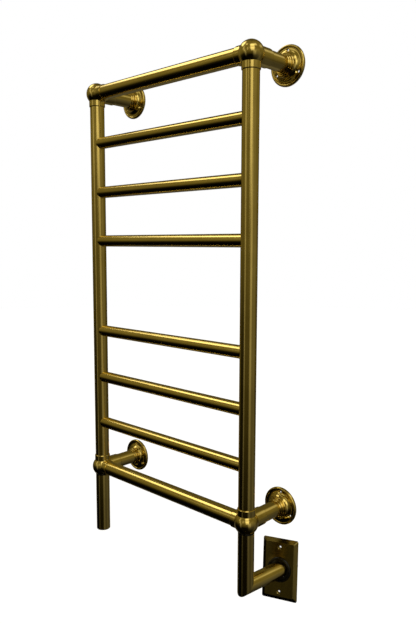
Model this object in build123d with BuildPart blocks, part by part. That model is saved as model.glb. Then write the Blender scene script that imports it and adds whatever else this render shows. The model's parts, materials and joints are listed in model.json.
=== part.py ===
from build123d import *
import math
import os

# Ball-jointed electric towel warmer rack, hard-wired through a conduit and a wall cover plate.
# Millimetres. X runs along the rungs, +Y into the wall, +Z up. The wall is the plane Y = 0.
# The origin is the centre of the rectangle of the four flanges' top screw holes, on the wall.

# ---- driving dimensions ----
SPAN = 420.0                 # between the two uprights' axes
PITCH = 102.5                # between neighbouring rungs
TOWEL_GAP = 194.5            # the wide gap in the middle of the ladder
RUNGS_PER_BANK = 3
STAND_OFF = 104.5            # uprights' axes in front of the wall

TUBE_R, TUBE_WALL = 15.0, 1.5
RUNG_R, RUNG_WALL = 12.0, 1.2
PORT_R = 7.0                 # liquid ports from an upright into its rungs
FIT = 0.05                   # radial clearance of a socket, bush or running fit

BALL_R = 22.0
COLLAR_R, LIP_R = 16.5, 15.7
LIP_LENGTH = 1.3             # the collar's chamfered lip
COLLAR_END = 27.2            # end of an upright or bar collar, from the ball's centre
ARM_COLLAR_END = 41.5
SOCKET_FLOOR = 16.0          # tube sockets start here, from the ball's centre
ARM_SOCKET_FLOOR = 28.0
GASKET = 1.5
PASSAGE_R = 9.0
BALL_FLAT = 16.0             # spot-faced underside of a bottom ball
FLAT_R = 15.6
JOINT_FILLET = 1.5
LEG_SEAL = 2.5               # thickness of the rubber ring between a bottom ball and its leg

FLANGE_DEPTH = 22.5
FLANGE_SHOULDER = 5.0        # the arm's end stands this far off the wall
SCREW_PCD = 54.0
SCREW_HOLE_R, SCREW_SINK_R = 2.5, 4.5
SCREW_SINK_AT = 6.2          # plane of the countersinks, off the wall
SINK_CLEARANCE = 4.0         # the countersinks are cut straight for this height above that plane
GRUB_R = 2.0
GRUB_AT = 16.5               # grub screw's distance off the wall

LEG_TUBE_END = 143.5         # blank leg's tube, below the bottom bar's axis
LEG_CAP = 2.5
CONDUIT_DROP = 120.0         # conduit arm's axis below the bottom bar's axis
CONDUIT_TURN = -5.94         # the swivelling conduit's heading about +Z, 0 being square to the wall
CONDUIT_LENGTH = 125.0       # conduit arm, from the leg's axis to its end inside the wall
SWIVEL_GAP = 0.1
NIPPLE_R = 10.5
NIPPLE_BORE_R = 8.0
THREAD_R = 11.0              # threaded hole in a bottom ball
THREAD_TOP = 8.0             # its upper end, below the ball's centre

PLATE_W, PLATE_H = 69.85, 114.3      # single-gang cover plate
PLATE_SCREW_PITCH = 83.34
PLATE_DEPTH = 5.5
PLATE_EDGE = 1.2             # upright edge below the bevel
PLATE_BEVEL = 7.0
PLATE_SKIN = 3.0
PLATE_CORNER = 3.5
PLATE_ALONG = 90.0           # plate centre along the conduit arm
PLATE_LEAN = (-9.1, -2.4, 16.4)      # nod, roll and heading as it hangs loose on the conduit
PLATE_SCREW_R, PLATE_SINK_R = 2.0, 4.6
PLATE_BOSS_R = 5.5           # boss behind each screw hole, as deep as the plate
GROMMET_HOLE_R = 19.8
GROMMET_BEAD_R = 2.2

HEATER_R = 5.0
HEATER_LENGTH = 540.0
WIRE_R, WIRE_CIRCLE = 1.5, 4.0

# ---- places worked out from them ----
HEIGHT = 2 * RUNGS_PER_BANK * PITCH + TOWEL_GAP
BOTTOM_Z = -HEIGHT / 2 - SCREW_PCD / 2
TOP_Z = BOTTOM_Z + HEIGHT
RUNG_Z = [BOTTOM_Z + n * PITCH for n in range(1, RUNGS_PER_BANK + 1)]
RUNG_Z += [TOP_Z - n * PITCH for n in range(RUNGS_PER_BANK, 0, -1)]
BASE = (Align.CENTER, Align.CENTER, Align.MIN)
UP, DOWN = Vector(0, 0, 1), Vector(0, 0, -1)
TO_WALL = Vector(0, 1, 0)
SIDES = {"left": -1, "right": 1}


def corner(side, z):
    """Centre of a ball joint, or a point on an upright's axis."""
    return Vector(SIDES[side] * SPAN / 2, -STAND_OFF, z)


def save(builder, name):
    """Label a finished piece and write its file."""
    builder.part.label = name
    export_step(builder.part, f"parts/{name}.step")


def round_tube(start, direction, length, radius, wall):
    """A straight round tube."""
    with BuildPart() as tube:
        with BuildSketch(Plane(origin=start, z_dir=direction)):
            Circle(radius)
            Circle(radius - wall, mode=Mode.SUBTRACT)
        extrude(amount=length)
    return tube


def ring_solid(start, direction, length, outer, inner):
    """A plain ring, such as a gasket, bush or snap ring."""
    return round_tube(start, direction, length, outer, outer - inner)


# ---- ladder frame ----
def upright(side):
    """A long tube between two balls, with a port into each rung."""
    low = corner(side, BOTTOM_Z + SOCKET_FLOOR + GASKET)
    length = HEIGHT - 2 * (SOCKET_FLOOR + GASKET)
    with BuildPart() as tube:
        with BuildSketch(Plane(origin=low, z_dir=UP)):
            Circle(TUBE_R)
            Circle(TUBE_R - TUBE_WALL, mode=Mode.SUBTRACT)
        extrude(amount=length)
        for z in RUNG_Z:
            with Locations(Plane(origin=corner(side, z), z_dir=(-SIDES[side], 0, 0))):
                Cylinder(PORT_R, 2 * TUBE_R, align=BASE, mode=Mode.SUBTRACT)
    return tube


def bar(z):
    """The top or bottom bar, between two balls."""
    start = corner("left", z) + Vector(SOCKET_FLOOR + GASKET, 0, 0)
    return round_tube(start, (1, 0, 0), SPAN - 2 * (SOCKET_FLOOR + GASKET), TUBE_R, TUBE_WALL)


def rung(z):
    """A rung with saddle-cut ends, brazed to the uprights."""
    inset = TUBE_R / 2
    with BuildPart() as tube:
        with BuildSketch(Plane(origin=corner("left", z) + Vector(inset, 0, 0), z_dir=(1, 0, 0))):
            Circle(RUNG_R)
            Circle(RUNG_R - RUNG_WALL, mode=Mode.SUBTRACT)
        extrude(amount=SPAN - 2 * inset)
        for side in SIDES:
            with Locations(corner(side, z)):
                Cylinder(TUBE_R + FIT / 2, 3 * RUNG_R, mode=Mode.SUBTRACT)
    return tube


def ball_joint(side, z):
    """A cast ball with collars for the upright, the bar and the arm to the wall."""
    centre = corner(side, z)
    is_top = z > 0
    to_upright = DOWN if is_top else UP
    to_bar = Vector(-SIDES[side], 0, 0)
    collars = [(to_upright, COLLAR_END, SOCKET_FLOOR), (to_bar, COLLAR_END, SOCKET_FLOOR)]
    collars.append((TO_WALL, ARM_COLLAR_END, ARM_SOCKET_FLOOR))
    is_wired = side == "right" and not is_top
    passages = [to_upright, DOWN] if is_wired else [to_upright, to_bar]
    with BuildPart() as joint:
        with Locations(centre):
            Sphere(BALL_R)
        for direction, end, floor in collars:
            with Locations(Plane(origin=centre, z_dir=direction)):
                Cylinder(COLLAR_R, end - LIP_LENGTH, align=BASE)
            with Locations(Plane(origin=centre + direction * (end - LIP_LENGTH), z_dir=direction)):
                Cone(COLLAR_R, LIP_R, LIP_LENGTH, align=BASE)
        seam_reach = COLLAR_R * math.sqrt(2) + JOINT_FILLET
        creases = joint.edges().filter_by(
            lambda edge: all((edge @ t - centre).length < seam_reach for t in (0, 0.5, 1))
        )
        meridians = creases.filter_by(GeomType.CIRCLE).filter_by(lambda edge: edge.radius > BALL_R - 1)
        fillet(creases - meridians, JOINT_FILLET)
        for direction, end, floor in collars:
            with Locations(Plane(origin=centre + direction * floor, z_dir=direction)):
                Cylinder(TUBE_R + FIT, end, align=BASE, mode=Mode.SUBTRACT)
        for direction in passages:
            with Locations(Plane(origin=centre, z_dir=direction)):
                Cylinder(PASSAGE_R, BALL_R, align=BASE, mode=Mode.SUBTRACT)
        with Locations(centre):
            Sphere(PASSAGE_R, mode=Mode.SUBTRACT)
        if not is_top:
            with Locations(Plane(origin=centre + DOWN * BALL_FLAT, z_dir=DOWN)):
                Cylinder(FLAT_R, BALL_R, align=BASE, mode=Mode.SUBTRACT)
            with Locations(Plane(origin=centre + DOWN * THREAD_TOP, z_dir=DOWN)):
                Cylinder(THREAD_R, BALL_R, align=BASE, mode=Mode.SUBTRACT)
    return joint


def standoff_arm(side, z):
    """The short tube from a ball back to its wall flange."""
    start = corner(side, z) + TO_WALL * ARM_SOCKET_FLOOR
    length = STAND_OFF - ARM_SOCKET_FLOOR - FLANGE_SHOULDER
    return round_tube(start, TO_WALL, length, TUBE_R, TUBE_WALL)


def wall_flange(side, z):
    """A turned flange: three stepped neck rings, a hollow dish, a groove and a beaded rim."""
    # The profile's second number is the distance off the wall.
    at_wall = Plane(origin=(SIDES[side] * SPAN / 2, 0, z), x_dir=(1, 0, 0), z_dir=(0, 0, 1))
    with BuildPart() as flange:
        with BuildSketch(at_wall):
            with BuildLine():
                rings = Polyline(
                    (TUBE_R - 3.0, 0), (TUBE_R - 3.0, -FLANGE_SHOULDER),
                    (TUBE_R + FIT, -FLANGE_SHOULDER), (TUBE_R + FIT, -FLANGE_DEPTH),
                    (15.9, -FLANGE_DEPTH), (16.7, -FLANGE_DEPTH + 0.8),
                    (16.7, -18.8), (17.4, -18.8), (18.2, -18.0),
                    (18.2, -14.4), (19.2, -14.4), (20.0, -13.6), (20.0, -11.4),
                )
                dish = ThreePointArc(rings @ 1, (23.6, -7.0), (30.0, -5.2))
                groove = Polyline(dish @ 1, (30.0, -4.2), (31.0, -4.2))
                bead = ThreePointArc(groove @ 1, (33.4, -6.0), (36.0, -3.2))
                edge = ThreePointArc(bead @ 1, (35.9, -1.4), (35.2, 0))
                Line(edge @ 1, rings @ 0)
            make_face()
        revolve(axis=Axis((SIDES[side] * SPAN / 2, 0, z), (0, 1, 0)))
        sink_at = Vector(SIDES[side] * SPAN / 2, -SCREW_SINK_AT, z)
        with Locations(Plane(origin=sink_at, x_dir=(1, 0, 0), z_dir=(0, -1, 0))):
            with PolarLocations(SCREW_PCD / 2, 3, start_angle=90):
                CounterSinkHole(SCREW_HOLE_R, SCREW_SINK_R, SCREW_SINK_AT, 90)
                Cylinder(SCREW_SINK_R, SINK_CLEARANCE, align=BASE, mode=Mode.SUBTRACT)
        with Locations(Plane(origin=(SIDES[side] * SPAN / 2, -GRUB_AT, z), z_dir=DOWN)):
            Cylinder(GRUB_R, 2 * TUBE_R, align=BASE, mode=Mode.SUBTRACT)
    return flange


def grub_screws():
    """One socket set screw under the neck of each flange, bearing on the arm."""
    head = 18.0
    with BuildPart() as screws:
        for side in SIDES:
            for z in (BOTTOM_Z, TOP_Z):
                tip = Vector(SIDES[side] * SPAN / 2, -GRUB_AT, z - TUBE_R)
                with Locations(Plane(origin=tip, z_dir=DOWN)):
                    Cylinder(GRUB_R - FIT, head - TUBE_R, align=BASE)
                with BuildSketch(Plane(origin=tip + DOWN * (head - TUBE_R), z_dir=DOWN)):
                    RegularPolygon(1.15, 6)
                extrude(amount=-1.8, mode=Mode.SUBTRACT)
    return screws


def tube_gaskets():
    """Flat seals between each upright's or bar's ends and the balls."""
    with BuildPart() as gaskets:
        for side in SIDES:
            for z in (BOTTOM_Z, TOP_Z):
                to_upright = UP if z < 0 else DOWN
                for direction in (to_upright, Vector(-SIDES[side], 0, 0)):
                    seat = corner(side, z) + direction * SOCKET_FLOOR
                    with BuildSketch(Plane(origin=seat, z_dir=direction)):
                        Circle(TUBE_R - FIT)
                        Circle(PASSAGE_R + 1, mode=Mode.SUBTRACT)
                    extrude(amount=GASKET)
    return gaskets


# ---- legs under the bottom balls ----
def leg_ring(side):
    """Rubber ring between a bottom ball's flat and the top of its leg."""
    with BuildPart() as ring:
        with BuildSketch(Plane(origin=corner(side, BOTTOM_Z - BALL_FLAT), z_dir=DOWN)):
            Circle(TUBE_R)
            Circle(THREAD_R + 0.3, mode=Mode.SUBTRACT)
        extrude(amount=LEG_SEAL)
        outer_edges = ring.edges().filter_by(GeomType.CIRCLE).filter_by(lambda edge: edge.radius > THREAD_R + 1)
        fillet(outer_edges, 0.8)
    return ring


# ---- blank leg under the left-hand ball ----
def fill_plug():
    """Solid threaded plug that seals the liquid in and carries the blank leg."""
    centre = corner("left", BOTTOM_Z)
    spigot = 12.0
    with BuildPart() as plug:
        with Locations(Plane(origin=centre + DOWN * (THREAD_TOP + 1), z_dir=DOWN)):
            Cylinder(THREAD_R - FIT, BALL_FLAT + LEG_SEAL - THREAD_TOP - 1, align=BASE)
        with Locations(Plane(origin=centre + DOWN * (BALL_FLAT + LEG_SEAL), z_dir=DOWN)):
            Cylinder(TUBE_R - TUBE_WALL - FIT, spigot, align=BASE)
        chamfer(plug.faces().sort_by(Axis.Z)[0].edges(), 1.0)
        with BuildSketch(Plane(origin=centre + DOWN * (BALL_FLAT + LEG_SEAL + spigot), z_dir=DOWN)):
            RegularPolygon(6.0, 6)
        extrude(amount=-8, mode=Mode.SUBTRACT)
    return plug


def blank_leg_cap():
    """Push-in cap that closes the blank leg's lower end."""
    end = corner("left", BOTTOM_Z - LEG_TUBE_END)
    with BuildPart() as cap:
        with Locations(Plane(origin=end, z_dir=DOWN)):
            Cylinder(TUBE_R, LEG_CAP, align=BASE)
        fillet(cap.edges().sort_by(Axis.Z)[0], 1.2)
        with BuildSketch(Plane(origin=end, z_dir=UP)):
            Circle(TUBE_R - TUBE_WALL - FIT)
            Circle(TUBE_R - TUBE_WALL - 2.5, mode=Mode.SUBTRACT)
        extrude(amount=8)
    return cap


# ---- swivelling conduit under the right-hand ball ----
LEG_AXIS = corner("right", BOTTOM_Z)
ELBOW = LEG_AXIS + DOWN * CONDUIT_DROP
ALONG = Vector(0, 1, 0).rotate(Axis.Z, CONDUIT_TURN)
ACROSS = ALONG.cross(UP)
LEG_TOP = BALL_FLAT + LEG_SEAL + SWIVEL_GAP
NIPPLE_END = 38.0
CLIP_AT, CLIP_THICK = 34.4, 1.2
BUSH_END = CLIP_AT - 2 * SWIVEL_GAP


def swivel_nipple():
    """Hollow threaded nipple, fixed in the ball, that the conduit turns on."""
    with BuildPart() as nipple:
        with Locations(Plane(origin=LEG_AXIS + DOWN * (THREAD_TOP + 1), z_dir=DOWN)):
            Cylinder(THREAD_R - FIT, BALL_FLAT - THREAD_TOP - 1, align=BASE)
        with Locations(Plane(origin=LEG_AXIS + DOWN * BALL_FLAT, z_dir=DOWN)):
            Cylinder(NIPPLE_R, NIPPLE_END - BALL_FLAT, align=BASE)
        with BuildSketch(Plane(origin=LEG_AXIS + DOWN * CLIP_AT, z_dir=DOWN)):
            Circle(NIPPLE_R + 1)
            Circle(NIPPLE_R - 1, mode=Mode.SUBTRACT)
        extrude(amount=CLIP_THICK, mode=Mode.SUBTRACT)
        with Locations(Plane(origin=LEG_AXIS, z_dir=DOWN)):
            Cylinder(NIPPLE_BORE_R, 2 * NIPPLE_END, align=BASE, mode=Mode.SUBTRACT)
        chamfer(nipple.faces().sort_by(Axis.Z)[0].outer_wire().edges(), 0.8)
    return nipple


def swivel_clip():
    """Open snap ring in the nipple's groove that keeps the conduit on."""
    with BuildPart() as clip:
        with BuildSketch(Plane(origin=LEG_AXIS + DOWN * CLIP_AT, z_dir=DOWN)):
            Circle(12.6)
            Circle(NIPPLE_R - 1, mode=Mode.SUBTRACT)
            with Locations((12, 0)):
                Rectangle(12, 5, mode=Mode.SUBTRACT)
        extrude(amount=CLIP_THICK)
    return clip


def mitred_tube(start, direction, length, keep):
    """One leg of the conduit, cut on the mitre plane at the elbow."""
    with BuildPart() as tube:
        with BuildSketch(Plane(origin=start, z_dir=direction)):
            Circle(TUBE_R)
            Circle(TUBE_R - TUBE_WALL, mode=Mode.SUBTRACT)
        extrude(amount=length)
        split(bisect_by=Plane(origin=ELBOW, x_dir=ACROSS, z_dir=UP - ALONG), keep=keep)
    return tube


def end_bush():
    """Plastic anti-chafe bush in the conduit's end inside the wall."""
    end = ELBOW + ALONG * CONDUIT_LENGTH
    with BuildPart() as bush:
        with BuildSketch(Plane(origin=end, z_dir=-ALONG)):
            Circle(TUBE_R - TUBE_WALL - FIT)
        extrude(amount=10)
        with BuildSketch(Plane(origin=end, z_dir=ALONG)):
            Circle(TUBE_R - 0.2)
        extrude(amount=2)
        fillet(bush.faces().sort_by(Axis(end, ALONG))[-1].edges(), 1.2)
        with Locations(Plane(origin=end + ALONG * 5, z_dir=-ALONG)):
            Cylinder(9.5, 40, align=BASE, mode=Mode.SUBTRACT)
    return bush


def lead_wire(angle):
    """One insulated lead, from under the heater's head to the conduit's end."""
    out = WIRE_CIRCLE * math.cos(math.radians(angle))
    aside = ACROSS * (WIRE_CIRCLE * math.sin(math.radians(angle)))
    top = LEG_AXIS + ALONG * out + aside + UP * 4
    bend = ELBOW + ALONG * out + aside + UP * out
    end = ELBOW + ALONG * (CONDUIT_LENGTH + 1) + aside + UP * out
    with BuildPart() as wire:
        with BuildLine():
            FilletPolyline(top, bend, end, radius=8.0)
        with BuildSketch(Plane(origin=top, z_dir=DOWN)):
            Circle(WIRE_R)
        sweep()
    return wire


# ---- cover plate, loose on the conduit ----
PLATE_CENTRE = ELBOW + ALONG * PLATE_ALONG


def lean_plane():
    """Plane of the cover plate's front skin: Z to the front, X to the right seen from the front."""
    nod, roll, heading = PLATE_LEAN
    front = Vector(0, -1, 0)
    right = Vector(1, 0, 0)
    for axis, angle in ((Axis.Y, roll), (Axis.X, nod), (Axis.Z, heading)):
        front = front.rotate(axis, angle)
        right = right.rotate(axis, angle)
    return Plane(origin=PLATE_CENTRE, x_dir=right, z_dir=front)


FACE = lean_plane()          # its origin is in the middle of the skin's thickness


def wall_plate():
    """Cover plate with a bevelled rim, hollow behind, two countersunk holes and the cable hole."""
    skin_top = FACE.offset(PLATE_SKIN / 2)
    back = skin_top.offset(-PLATE_DEPTH)
    with BuildPart() as plate:
        with BuildSketch(back):
            RectangleRounded(PLATE_W, PLATE_H, PLATE_CORNER)
        extrude(amount=PLATE_EDGE)
        with BuildSketch(back.offset(PLATE_EDGE)):
            RectangleRounded(PLATE_W, PLATE_H, PLATE_CORNER)
        with BuildSketch(skin_top):
            RectangleRounded(PLATE_W - 2 * PLATE_BEVEL, PLATE_H - 2 * PLATE_BEVEL, PLATE_CORNER / 2)
        loft()
        with BuildSketch(back):
            Rectangle(PLATE_W - 2 * PLATE_BEVEL - 1, PLATE_H - 2 * PLATE_BEVEL - 1)
        extrude(amount=PLATE_DEPTH - PLATE_SKIN, mode=Mode.SUBTRACT)
        with Locations(back):
            with GridLocations(0, PLATE_SCREW_PITCH, 1, 2):
                Cylinder(PLATE_BOSS_R, PLATE_DEPTH - PLATE_SKIN, align=BASE)
        with Locations(skin_top):
            Hole(GROMMET_HOLE_R)
            with GridLocations(0, PLATE_SCREW_PITCH, 1, 2):
                CounterSinkHole(PLATE_SCREW_R, PLATE_SINK_R, 2 * PLATE_DEPTH, 90)
    return plate


def grommet():
    """Rubber grommet: beaded front rim, groove for the plate's skin, back flange and a web.

    The web's bore follows the conduit, which passes through at the plate's lean.
    """
    groove = PLATE_SKIN / 2 + FIT
    rim = groove + 1.2
    web = 1.6
    bead_r = GROMMET_HOLE_R + 1.2
    back_r = GROMMET_HOLE_R + 2.4
    with BuildPart() as rubber:
        with BuildSketch(Plane(origin=PLATE_CENTRE, x_dir=FACE.x_dir, z_dir=-FACE.y_dir)):
            with BuildLine():
                front = Polyline(
                    (0, -web), (18.0, -web), (18.0, -groove - 2.0), (back_r, -groove - 2.0),
                    (back_r, -groove), (GROMMET_HOLE_R - FIT, -groove), (GROMMET_HOLE_R - FIT, groove),
                    (bead_r + GROMMET_BEAD_R, groove), (bead_r + GROMMET_BEAD_R, rim),
                )
                bead = ThreePointArc(front @ 1, (bead_r, rim + GROMMET_BEAD_R),
                                     (bead_r - GROMMET_BEAD_R, rim))
                Polyline(bead @ 1, (bead_r - GROMMET_BEAD_R, web), (0, web), front @ 0)
            make_face()
        revolve(axis=Axis(PLATE_CENTRE, FACE.z_dir))
        with Locations(Plane(origin=PLATE_CENTRE, z_dir=ALONG)):
            Cylinder(TUBE_R + 2 * FIT, 4 * TUBE_R, mode=Mode.SUBTRACT)
    return rubber


# ---- heater inside the right-hand upright ----
BUSH_LOW, BUSH_HIGH = 20.0, 34.0


def heater_bush():
    """Threaded bush that seals the heater into the foot of the right-hand upright."""
    groove_low = LEG_AXIS + UP * (BUSH_LOW + 6)
    with BuildPart() as bush:
        with BuildSketch(Plane(origin=LEG_AXIS + UP * BUSH_LOW, z_dir=UP)):
            Circle(TUBE_R - TUBE_WALL - FIT)
            Circle(HEATER_R, mode=Mode.SUBTRACT)
        extrude(amount=BUSH_HIGH - BUSH_LOW)
        with BuildSketch(Plane(origin=groove_low, z_dir=UP)):
            Circle(TUBE_R)
            Circle(11.0, mode=Mode.SUBTRACT)
        extrude(amount=3, mode=Mode.SUBTRACT)
    return bush


def heater_rod():
    """Sheathed electric heating element with a rounded tip."""
    with BuildPart() as rod:
        with Locations(LEG_AXIS + UP * (BUSH_LOW - 3)):
            Cylinder(HEATER_R, HEATER_LENGTH, align=BASE)
        fillet(rod.faces().sort_by(Axis.Z)[-1].edges(), 3.0)
    return rod


def heater_head():
    """Insulating terminal head under the bush, with a pocket for the thermal cut-out."""
    with BuildPart() as head:
        with Locations(LEG_AXIS + UP * (BUSH_LOW - 3)):
            Cylinder(PASSAGE_R - 0.5, 10, align=(Align.CENTER, Align.CENTER, Align.MAX))
        with Locations(LEG_AXIS + UP * (BUSH_LOW - 5) + TO_WALL * 4.5):
            Cylinder(2.0 + FIT, 12, align=(Align.CENTER, Align.CENTER, Align.MAX), mode=Mode.SUBTRACT)
    return head


def thermal_cutout():
    """Small capsule in the heater's head that opens the circuit if it overheats."""
    with BuildPart() as capsule:
        with Locations(LEG_AXIS + UP * (BUSH_LOW - 5) + TO_WALL * 4.5):
            Cylinder(2.0, 8, align=(Align.CENTER, Align.CENTER, Align.MAX))
        fillet(capsule.faces().sort_by(Axis.Z)[0].edges(), 0.8)
    return capsule


os.makedirs("parts", exist_ok=True)

for side in SIDES:
    save(upright(side), f"{side}_upright")
    for level, z in (("top", TOP_Z), ("bottom", BOTTOM_Z)):
        save(ball_joint(side, z), f"{level}_{side}_ball_joint")
        save(standoff_arm(side, z), f"{level}_{side}_standoff_arm")
        save(wall_flange(side, z), f"{level}_{side}_wall_flange")
save(bar(TOP_Z), "top_bar")
save(bar(BOTTOM_Z), "bottom_bar")
for number, z in enumerate(reversed(RUNG_Z), start=1):
    save(rung(z), f"rung_{number}")
save(grub_screws(), "flange_grub_screws")
save(tube_gaskets(), "tube_end_gaskets")

BLANK_LEG_TOP = corner("left", BOTTOM_Z - BALL_FLAT - LEG_SEAL)
BLANK_LEG_LENGTH = LEG_TUBE_END - BALL_FLAT - LEG_SEAL
save(round_tube(BLANK_LEG_TOP, DOWN, BLANK_LEG_LENGTH, TUBE_R, TUBE_WALL), "blank_leg")
save(blank_leg_cap(), "blank_leg_cap")
save(fill_plug(), "fill_plug")
save(leg_ring("left"), "fill_plug_gasket")

save(swivel_nipple(), "swivel_nipple")
save(swivel_clip(), "swivel_clip")
save(leg_ring("right"), "swivel_ring")
BUSH_TOP = LEG_AXIS + DOWN * (LEG_TOP + 1)
BUSH_OUTER = TUBE_R - TUBE_WALL - FIT / 2
save(ring_solid(BUSH_TOP, DOWN, BUSH_END - LEG_TOP - 1, BUSH_OUTER, NIPPLE_R + FIT), "swivel_bush")
save(mitred_tube(LEG_AXIS + DOWN * LEG_TOP, DOWN, CONDUIT_DROP, Keep.TOP), "conduit_leg")
save(mitred_tube(ELBOW - ALONG * 2 * TUBE_R, ALONG, CONDUIT_LENGTH + 2 * TUBE_R, Keep.BOTTOM), "conduit_arm")
save(end_bush(), "conduit_end_bush")
for name, angle in (("live_wire", 90), ("neutral_wire", 210), ("earth_wire", 330)):
    save(lead_wire(angle), name)

save(wall_plate(), "wall_plate")
save(grommet(), "wall_plate_grommet")

save(heater_bush(), "heater_bush")
SEAL_LOW = LEG_AXIS + UP * (BUSH_LOW + 6.1)
save(ring_solid(SEAL_LOW, UP, 2.8, TUBE_R - TUBE_WALL - FIT / 2, 11.05), "heater_seal")
save(heater_rod(), "heater_rod")
save(heater_head(), "heater_head")
save(thermal_cutout(), "thermal_cutout")
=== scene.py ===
import json
import math

import bpy
from mathutils import Matrix, Vector


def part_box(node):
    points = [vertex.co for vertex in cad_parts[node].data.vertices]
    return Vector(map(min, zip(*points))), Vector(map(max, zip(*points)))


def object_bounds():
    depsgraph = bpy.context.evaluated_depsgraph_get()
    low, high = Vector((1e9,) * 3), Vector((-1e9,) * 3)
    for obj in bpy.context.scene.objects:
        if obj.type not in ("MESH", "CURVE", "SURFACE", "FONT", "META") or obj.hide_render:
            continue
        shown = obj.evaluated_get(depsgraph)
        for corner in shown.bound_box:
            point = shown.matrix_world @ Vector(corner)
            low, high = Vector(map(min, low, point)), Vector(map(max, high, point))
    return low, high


# Towel warmer rack in brushed antique brass. Metres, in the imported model's frame:
# X along the rungs, +Y into the wall, +Z up.
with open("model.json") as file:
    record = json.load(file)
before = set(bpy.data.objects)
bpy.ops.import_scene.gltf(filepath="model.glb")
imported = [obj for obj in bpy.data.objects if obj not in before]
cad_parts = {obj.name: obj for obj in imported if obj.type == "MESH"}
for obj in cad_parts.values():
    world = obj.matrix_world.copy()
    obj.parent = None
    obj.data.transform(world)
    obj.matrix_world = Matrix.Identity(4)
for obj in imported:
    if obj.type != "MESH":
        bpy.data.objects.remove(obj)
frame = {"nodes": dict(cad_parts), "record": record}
cad_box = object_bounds()
NODES = frame["nodes"]

# ---- camera ----
CAMERA_AT = Vector((0.8944, -0.9336, 0.0627))
TURN_LEFT, DOWN_TILT, ROLL = 43.445, 6.282, 0.19    # degrees, from looking straight at the wall
FOCAL_IN_IMAGE_HEIGHTS = 1.0014
SHIFT_X, SHIFT_Y = 0.0031, 0.0026                   # of the frame's height
SENSOR = 36.0                                       # millimetres
NEAREST = 0.01


def make_camera():
    data = bpy.data.cameras.new("camera")
    data.sensor_fit = "VERTICAL"
    data.sensor_height = SENSOR
    data.lens = FOCAL_IN_IMAGE_HEIGHTS * SENSOR
    data.shift_x = SHIFT_X
    data.shift_y = SHIFT_Y
    data.clip_start = NEAREST
    camera = bpy.data.objects.new("camera", data)
    turn = Matrix.Rotation(math.radians(TURN_LEFT), 4, "Z")
    tilt = Matrix.Rotation(math.radians(90 - DOWN_TILT), 4, "X")
    roll = Matrix.Rotation(math.radians(ROLL), 4, "Z")
    camera.matrix_world = Matrix.Translation(CAMERA_AT) @ turn @ tilt @ roll
    bpy.context.scene.collection.objects.link(camera)
    bpy.context.scene.camera = camera


# ---- node helpers ----
class Graph:
    """A small wrapper that adds nodes and links them by socket."""

    def __init__(self, tree):
        self.tree = tree
        tree.nodes.clear()

    def add(self, kind, **settings):
        node = self.tree.nodes.new(kind)
        for name, value in settings.items():
            setattr(node, name, value)
        return node

    def put(self, socket, value):
        if isinstance(value, bpy.types.NodeSocket):
            self.tree.links.new(value, socket)
        else:
            socket.default_value = value

    def math(self, operation, *values):
        node = self.add("ShaderNodeMath", operation=operation)
        for socket, value in zip(node.inputs, values):
            self.put(socket, value)
        return node.outputs[0]

    def ramp(self, value, low, high, out_low=0.0, out_high=1.0, smooth=True):
        """value mapped from low..high to out_low..out_high, clamped."""
        node = self.add("ShaderNodeMapRange", clamp=True)
        node.interpolation_type = "SMOOTHSTEP" if smooth else "LINEAR"
        for name, number in (("Value", value), ("From Min", low), ("From Max", high),
                             ("To Min", out_low), ("To Max", out_high)):
            self.put(node.inputs[name], number)
        return node.outputs["Result"]

    def place(self):
        return self.add("ShaderNodeTexCoord").outputs["Object"]

    def noise(self, vector, scale, detail=2.0, roughness=0.5):
        """3-D noise about 0.5; scale is a number, or three for a stretched grain."""
        if isinstance(scale, tuple):
            mapping = self.add("ShaderNodeMapping")
            self.put(mapping.inputs["Vector"], vector)
            mapping.inputs["Scale"].default_value = scale
            vector, scale = mapping.outputs[0], 1.0
        node = self.add("ShaderNodeTexNoise")
        self.put(node.inputs["Vector"], vector)
        node.inputs["Scale"].default_value = scale
        node.inputs["Detail"].default_value = detail
        node.inputs["Roughness"].default_value = roughness
        return node.outputs["Fac"]

    def blend(self, first, second, share):
        """The sum of two values, with the given share of the first."""
        return self.math("ADD", self.math("MULTIPLY", first, share),
                         self.math("MULTIPLY", second, 1.0 - share))

    def mix(self, factor, first, second):
        """A colour from first, at factor 0, to second, at factor 1.

        The node has sockets for every data type, and 6, 7 and 2 are those for colours.
        """
        node = self.add("ShaderNodeMix", data_type="RGBA")
        for socket, value in ((0, factor), (6, first), (7, second)):
            self.put(node.inputs[socket], value)
        return node.outputs[2]

    def bump(self, height, strength, depth):
        node = self.add("ShaderNodeBump")
        node.inputs["Strength"].default_value = strength
        node.inputs["Distance"].default_value = depth
        self.put(node.inputs["Height"], height)
        return node.outputs[0]

    def background(self, colour, strength):
        node = self.add("ShaderNodeBackground")
        node.inputs["Color"].default_value = colour
        self.put(node.inputs["Strength"], strength)
        return node

    def add_shaders(self, first, second):
        node = self.add("ShaderNodeAddShader")
        for socket, shader in zip(node.inputs, (first, second)):
            self.put(socket, shader.outputs[0])
        return node

    def seen_or_lit(self, seen, lit):
        """One shader where the camera looks straight at it, another for every other ray."""
        node = self.add("ShaderNodeMixShader")
        self.put(node.inputs[0], self.add("ShaderNodeLightPath").outputs["Is Camera Ray"])
        self.put(node.inputs[1], lit.outputs[0])
        self.put(node.inputs[2], seen.outputs[0])
        return node

    def turned_from(self, azimuth, heading):
        """Angle, always positive, between an azimuth in radians and a heading in degrees."""
        turn = self.math("SUBTRACT", azimuth, math.radians(heading))
        return self.math("ABSOLUTE", self.math("WRAP", turn, math.pi, -math.pi))

    def finish(self, output, shader):
        self.put(self.add(output).inputs["Surface"], shader.outputs[0])


def new_material(name):
    material = bpy.data.materials.new(name)
    material.use_nodes = True
    return material, Graph(material.node_tree)


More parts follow.
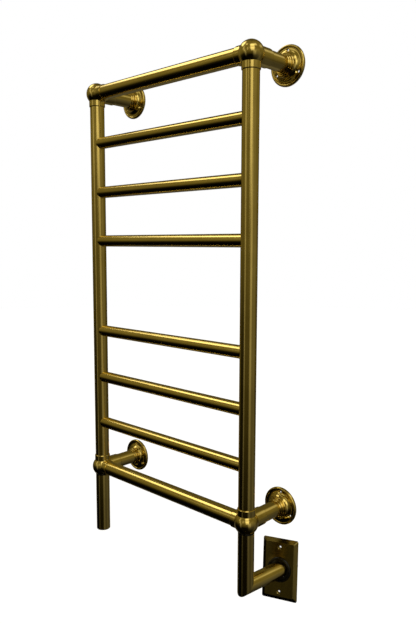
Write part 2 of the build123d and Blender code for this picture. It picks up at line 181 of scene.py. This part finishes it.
# ---- brass ----
ALONG_X, ALONG_Y, ALONG_Z, ALL_WAYS = (1, 0, 0), (0, 1, 0), (0, 0, 1), None
BRIGHT, DARK = (0.84, 0.66, 0.20, 1), (0.68, 0.53, 0.15, 1)
# the plate's brass is painted far darker than the rest: painted shade on its face
PLATE_SHADED_BRIGHT, PLATE_SHADED_DARK = (0.27, 0.21, 0.055, 1), (0.20, 0.155, 0.04, 1)
# the rubbed edge colour, and the dark of crevices, which is partly grime and partly painted shade
RUBBED, GRIME_AND_SHADE = (0.95, 0.76, 0.34, 1), (0.05, 0.04, 0.015, 1)
TUBE_ROUGHNESS, BALL_ROUGHNESS, FLANGE_ROUGHNESS, PLATE_ROUGHNESS = 0.14, 0.13, 0.11, 0.17
SMOOTHER, ROUGHER = 0.03, 0.04      # how far the roughness strays to each side
# noise values between which a look goes from its one end to the other
SPREAD, TONE_SPREAD = (0.3, 0.7), (0.36, 0.64)
# noise scales, per metre: on a tube, along its axis and across it
GRAIN_ALONG, GRAIN_ACROSS = 2600, 90
STREAK_ALONG, STREAK_ACROSS = 2.5, 170
CAST_GRAIN, CAST_STREAK = 2400, 60
CLOUD = 14.0
TUBE_BUMP, CAST_BUMP = 0.08, 0.03
GRAIN_DEPTH = 0.0003
EDGE_WIDTH, EDGE_WEAR = 0.0007, 0.5
CREVICE_REACH = 0.003
LACQUER, LACQUER_ROUGHNESS = 0.2, 0.1


def rubbed_edges(g, colour, cloud):
    """Brighter brass where an edge turns within its width, more in some places than in others."""
    rounded = g.add("ShaderNodeBevel", samples=4)
    rounded.inputs["Radius"].default_value = EDGE_WIDTH
    facing = g.add("ShaderNodeVectorMath", operation="DOT_PRODUCT")
    g.put(facing.inputs[0], rounded.outputs[0])
    g.put(facing.inputs[1], g.add("ShaderNodeNewGeometry").outputs["Normal"])
    uneven = g.math("MULTIPLY", facing.outputs["Value"], g.ramp(cloud, *SPREAD, 0.985, 1.0))
    return g.mix(g.ramp(uneven, 0.99, 0.9, 0.0, EDGE_WEAR), colour, RUBBED)


def crevice_grime_and_shade(g, colour):
    """Grime and painted shade where another surface is close by: crevices and the lines under lips are
    painted darker.
    """
    crevice = g.add("ShaderNodeAmbientOcclusion", samples=6, only_local=False)
    crevice.inputs["Distance"].default_value = CREVICE_REACH
    return g.mix(g.ramp(crevice.outputs["AO"], 0.2, 0.65), GRIME_AND_SHADE, colour)


def brushed_brass(name, along, bright, dark, roughness):
    """Antique brass: fine brushed grain, soft tone streaks, crevices darkened with grime and painted
    shade, and slightly rubbed edges.
    """
    material, g = new_material(name)
    place = g.place()
    if along is ALL_WAYS:
        grain = g.noise(place, (CAST_GRAIN,) * 3)
        streak = g.noise(place, (CAST_STREAK,) * 3, 3.0)
        bump = g.bump(grain, CAST_BUMP, GRAIN_DEPTH)
    else:
        grain = g.noise(place, tuple(GRAIN_ALONG if axis else GRAIN_ACROSS for axis in along))
        streak = g.noise(place, tuple(STREAK_ALONG if axis else STREAK_ACROSS for axis in along), 3.0)
        bump = g.bump(grain, TUBE_BUMP, GRAIN_DEPTH)
    cloud = g.noise(place, CLOUD, 4.0, 0.6)
    colour = g.mix(g.ramp(g.blend(streak, cloud, 0.5), *TONE_SPREAD), dark, bright)
    colour = crevice_grime_and_shade(g, rubbed_edges(g, colour, cloud))
    shader = g.add("ShaderNodeBsdfPrincipled")
    g.put(shader.inputs["Base Color"], colour)
    g.put(shader.inputs["Roughness"], g.ramp(g.blend(grain, cloud, 0.6), *SPREAD,
                                             roughness - SMOOTHER, roughness + ROUGHER, smooth=False))
    g.put(shader.inputs["Normal"], bump)
    shader.inputs["Metallic"].default_value = 1.0
    shader.inputs["Coat Weight"].default_value = LACQUER
    shader.inputs["Coat Roughness"].default_value = LACQUER_ROUGHNESS
    g.finish("ShaderNodeOutputMaterial", shader)
    return material


# ---- rubber and the small inner parts ----
RUBBER_DARK, RUBBER_BLOOM = (0.001, 0.001, 0.001, 1), (0.004, 0.004, 0.004, 1)
RUBBER_ROUGHNESS, RUBBER_SHINE = (0.15, 0.25), 0.45
BLOOM, SKIN = 90.0, 1500.0          # noise scales, per metre
SKIN_BUMP, SKIN_DEPTH = 0.03, 0.0002
MOTTLE = 220.0
MOTTLE_DARKER, MOTTLE_ROUGHNESS = 0.75, 0.06


def rubber(name):
    """Black moulded rubber with a faint bloom and a very fine skin."""
    material, g = new_material(name)
    place = g.place()
    bloom = g.noise(place, BLOOM, 4.0, 0.6)
    shader = g.add("ShaderNodeBsdfPrincipled")
    g.put(shader.inputs["Base Color"], g.mix(g.ramp(bloom, 0.4, 0.7), RUBBER_DARK, RUBBER_BLOOM))
    g.put(shader.inputs["Roughness"], g.ramp(bloom, *SPREAD, *RUBBER_ROUGHNESS))
    g.put(shader.inputs["Normal"], g.bump(g.noise(place, SKIN), SKIN_BUMP, SKIN_DEPTH))
    shader.inputs["Specular IOR Level"].default_value = RUBBER_SHINE
    g.finish("ShaderNodeOutputMaterial", shader)
    return material


def plain(name, colour, roughness, metallic=0.0):
    """A simple moulded or turned finish for small and inner parts, with a little mottling."""
    material, g = new_material(name)
    mottle = g.noise(g.place(), MOTTLE, 3.0)
    darker = tuple(MOTTLE_DARKER * part for part in colour)
    shader = g.add("ShaderNodeBsdfPrincipled")
    g.put(shader.inputs["Base Color"], g.mix(g.ramp(mottle, 0.35, 0.65), (*darker, 1), (*colour, 1)))
    g.put(shader.inputs["Roughness"], g.ramp(mottle, *SPREAD, roughness - MOTTLE_ROUGHNESS,
                                             roughness + MOTTLE_ROUGHNESS))
    shader.inputs["Metallic"].default_value = metallic
    g.finish("ShaderNodeOutputMaterial", shader)
    return material


def dress_nodes():
    """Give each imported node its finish; the grain runs round each tube and the streaks along it."""
    brass = {
        "x": brushed_brass("brass_along_x", ALONG_X, BRIGHT, DARK, TUBE_ROUGHNESS),
        "y": brushed_brass("brass_along_y", ALONG_Y, BRIGHT, DARK, TUBE_ROUGHNESS),
        "z": brushed_brass("brass_along_z", ALONG_Z, BRIGHT, DARK, TUBE_ROUGHNESS),
        "ball": brushed_brass("brass_ball", ALL_WAYS, BRIGHT, DARK, BALL_ROUGHNESS),
        "flange": brushed_brass("brass_flange", ALL_WAYS, BRIGHT, DARK, FLANGE_ROUGHNESS),
        # the plate: the same brass painted darker, as painted shade
        "plate": brushed_brass("brass_plate_shaded", ALONG_Z, PLATE_SHADED_BRIGHT, PLATE_SHADED_DARK, PLATE_ROUGHNESS),
    }
    others = {
        "turned_brass": plain("turned_brass", (0.80, 0.60, 0.25), 0.3, 1.0),
        "black_rubber": rubber("black_rubber"),
        "plain_steel": plain("plain_steel", (0.52, 0.52, 0.54), 0.35, 1.0),
        "white_insulator": plain("white_insulator", (0.75, 0.73, 0.68), 0.6),
        "black_plastic": plain("black_plastic", (0.02, 0.02, 0.02), 0.45),
        "black_insulation": plain("black_insulation", (0.02, 0.02, 0.02), 0.4),
        "white_insulation": plain("white_insulation", (0.7, 0.7, 0.68), 0.4),
        "green_insulation": plain("green_insulation", (0.03, 0.25, 0.07), 0.4),
    }
    slots = {entry["node"]: entry["material_slot"] for entry in frame["record"]["subparts"]}
    for name, node in NODES.items():
        slot = slots[name]
        if slot == "cast_brass":
            material = brass["flange" if name.endswith("flange") else "ball"]
        elif slot == "plate_brass":
            material = brass["plate"]
        elif slot == "tube_brass":
            low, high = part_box(name)
            size = [high[i] - low[i] for i in range(3)]
            material = brass["xyz"[size.index(max(size))]]
        else:
            material = others[slot]
        for material_slot in node.material_slots:
            material_slot.material = material


# ---- studio ----
# A heading is in degrees, from +X towards +Y: -90 is straight out from the wall, 0 is the
# rack's right. A height is the z of the unit direction, from -1 straight down to 1 straight up.
WARM_LIGHT, WARM_FILL, WHITE = (1.0, 0.93, 0.80, 1), (1.0, 0.83, 0.31, 1), (1, 1, 1, 1)
# Each light box: its heading, half width and soft edge, in degrees; its strength; and the
# heights where it begins, is full, begins to fade and is gone.
LIGHT_BOXES = (
    # in front of the rack: narrow strips, which draw the bright lines on the uprights and balls
    (-102, 4, 5, 0.26, (-0.62, 0.05, 0.08, 0.24)),
    (-112, 4, 5, 0.40, (0.04, 0.18, 0.30, 0.44)),
    (-83, 2, 6, 0.42, (0.16, 0.30, 0.44, 0.64)),
    (-124, 4, 6, 0.50, (0.24, 0.40, 0.56, 0.76)),
    # in front and to the right: broad boxes, the higher the brighter
    (-20, 10, 6, 0.23, (-0.60, 0.00, 0.08, 0.30)),
    (-39, 13, 4, 0.74, (0.02, 0.22, 0.36, 0.60)),
    (-40, 17, 9, 0.78, (0.26, 0.46, 0.78, 0.92)),
    # high up: right, front and left; the left one lights the tops of the bars and rungs
    (-24, 34, 14, 0.85, (0.68, 0.80, 0.86, 0.94)),
    (-112, 9, 8, 0.70, (0.75, 0.80, 0.86, 0.92)),
    (190, 19, 7, 2.00, (0.60, 0.66, 0.80, 0.92)),
    # from the wall side
    (60, 15, 8, 0.36, (0.44, 0.56, 0.62, 0.76)),
    # faint and mostly low: what the undersides and far sides reflect
    (140, 30, 20, 0.09, (-0.80, -0.65, -0.30, -0.10)),
    (10, 26, 22, 0.07, (-0.95, -0.20, 0.00, 0.20)),
    (6, 14, 12, 0.07, (0.00, 0.18, 0.25, 0.45)),
    (75, 30, 20, 0.06, (-0.95, -0.60, -0.40, -0.20)),
)
# The dim fill grows with height. It is shaded round two headings, each with its half width and
# soft edge in degrees and how much it takes away; the front one comes in below the horizon.
FILL_HEIGHTS, FILL_STRENGTHS = (-0.42, 0.3), (0.003, 0.19)
FRONT_SHADE, BACK_SHADE = (-132, 22, 18, 0.8), (125, 25, 30, 0.45)
FRONT_SHADE_HEIGHTS = (0.05, -0.2)


def around(g, azimuth, heading, half, soft, strength):
    """A value that is strength within half a width of the heading and fades over the soft edge."""
    away = g.turned_from(azimuth, heading)
    return g.ramp(away, math.radians(half), math.radians(half + soft), strength, 0.0)


def light_boxes(g, azimuth, z):
    total = 0.0
    for heading, half, soft, strength, (start, full, fade, gone) in LIGHT_BOXES:
        across = around(g, azimuth, heading, half, soft, strength)
        upright = g.math("MULTIPLY", g.ramp(z, start, full), g.ramp(z, fade, gone, 1.0, 0.0))
        total = g.math("ADD", total, g.math("MULTIPLY", across, upright))
    return total


def dim_fill(g, azimuth, z):
    """The fill, darker to the front left below the horizon and towards the left of the wall."""
    below = g.ramp(z, *FRONT_SHADE_HEIGHTS)
    front = g.math("MULTIPLY", around(g, azimuth, *FRONT_SHADE), below)
    back = around(g, azimuth, *BACK_SHADE)
    fill = g.ramp(z, *FILL_HEIGHTS, *FILL_STRENGTHS, smooth=False)
    for shade in (front, back):
        fill = g.math("MULTIPLY", fill, g.math("SUBTRACT", 1.0, shade))
    return fill


def make_world():
    """Soft studio surroundings: a dim fill and warm white light boxes; plain white to the camera."""
    world = bpy.data.worlds.new("studio")
    bpy.context.scene.world = world
    world.use_nodes = True
    g = Graph(world.node_tree)
    parts = g.add("ShaderNodeSeparateXYZ")
    g.put(parts.inputs[0], g.add("ShaderNodeTexCoord").outputs["Generated"])
    x, y, z = parts.outputs
    azimuth = g.math("ARCTAN2", y, x)
    boxes = g.background(WARM_LIGHT, light_boxes(g, azimuth, z))
    fill = g.background(WARM_FILL, dim_fill(g, azimuth, z))
    shown = g.seen_or_lit(g.background(WHITE, 1.0), g.add_shaders(boxes, fill))
    g.finish("ShaderNodeOutputWorld", shown)


FLOOR_DROP, FLOOR_RADIUS = 0.35, 9.0
FLOOR_COLOUR, FLOOR_GLOW = (0.3, 0.3, 0.3, 1), 0.96


def make_floor():
    """A plain pale floor well under the rack; the metal reflects the studio below it, not the floor."""
    below = (0, 0, cad_box[0][2] - FLOOR_DROP)
    bpy.ops.mesh.primitive_circle_add(vertices=96, radius=FLOOR_RADIUS, fill_type="NGON", location=below)
    floor = bpy.context.object
    floor.name = "floor"
    material, g = new_material("floor")
    pale = g.add("ShaderNodeBsdfDiffuse")
    pale.inputs["Color"].default_value = FLOOR_COLOUR
    glow = g.add("ShaderNodeEmission")
    glow.inputs["Strength"].default_value = FLOOR_GLOW
    clear = g.add("ShaderNodeBsdfTransparent")
    g.finish("ShaderNodeOutputMaterial", g.seen_or_lit(g.add_shaders(pale, glow), clear))
    floor.data.materials.append(material)


make_camera()
dress_nodes()
make_world()
make_floor()
bpy.context.scene.view_settings.view_transform = "Standard"
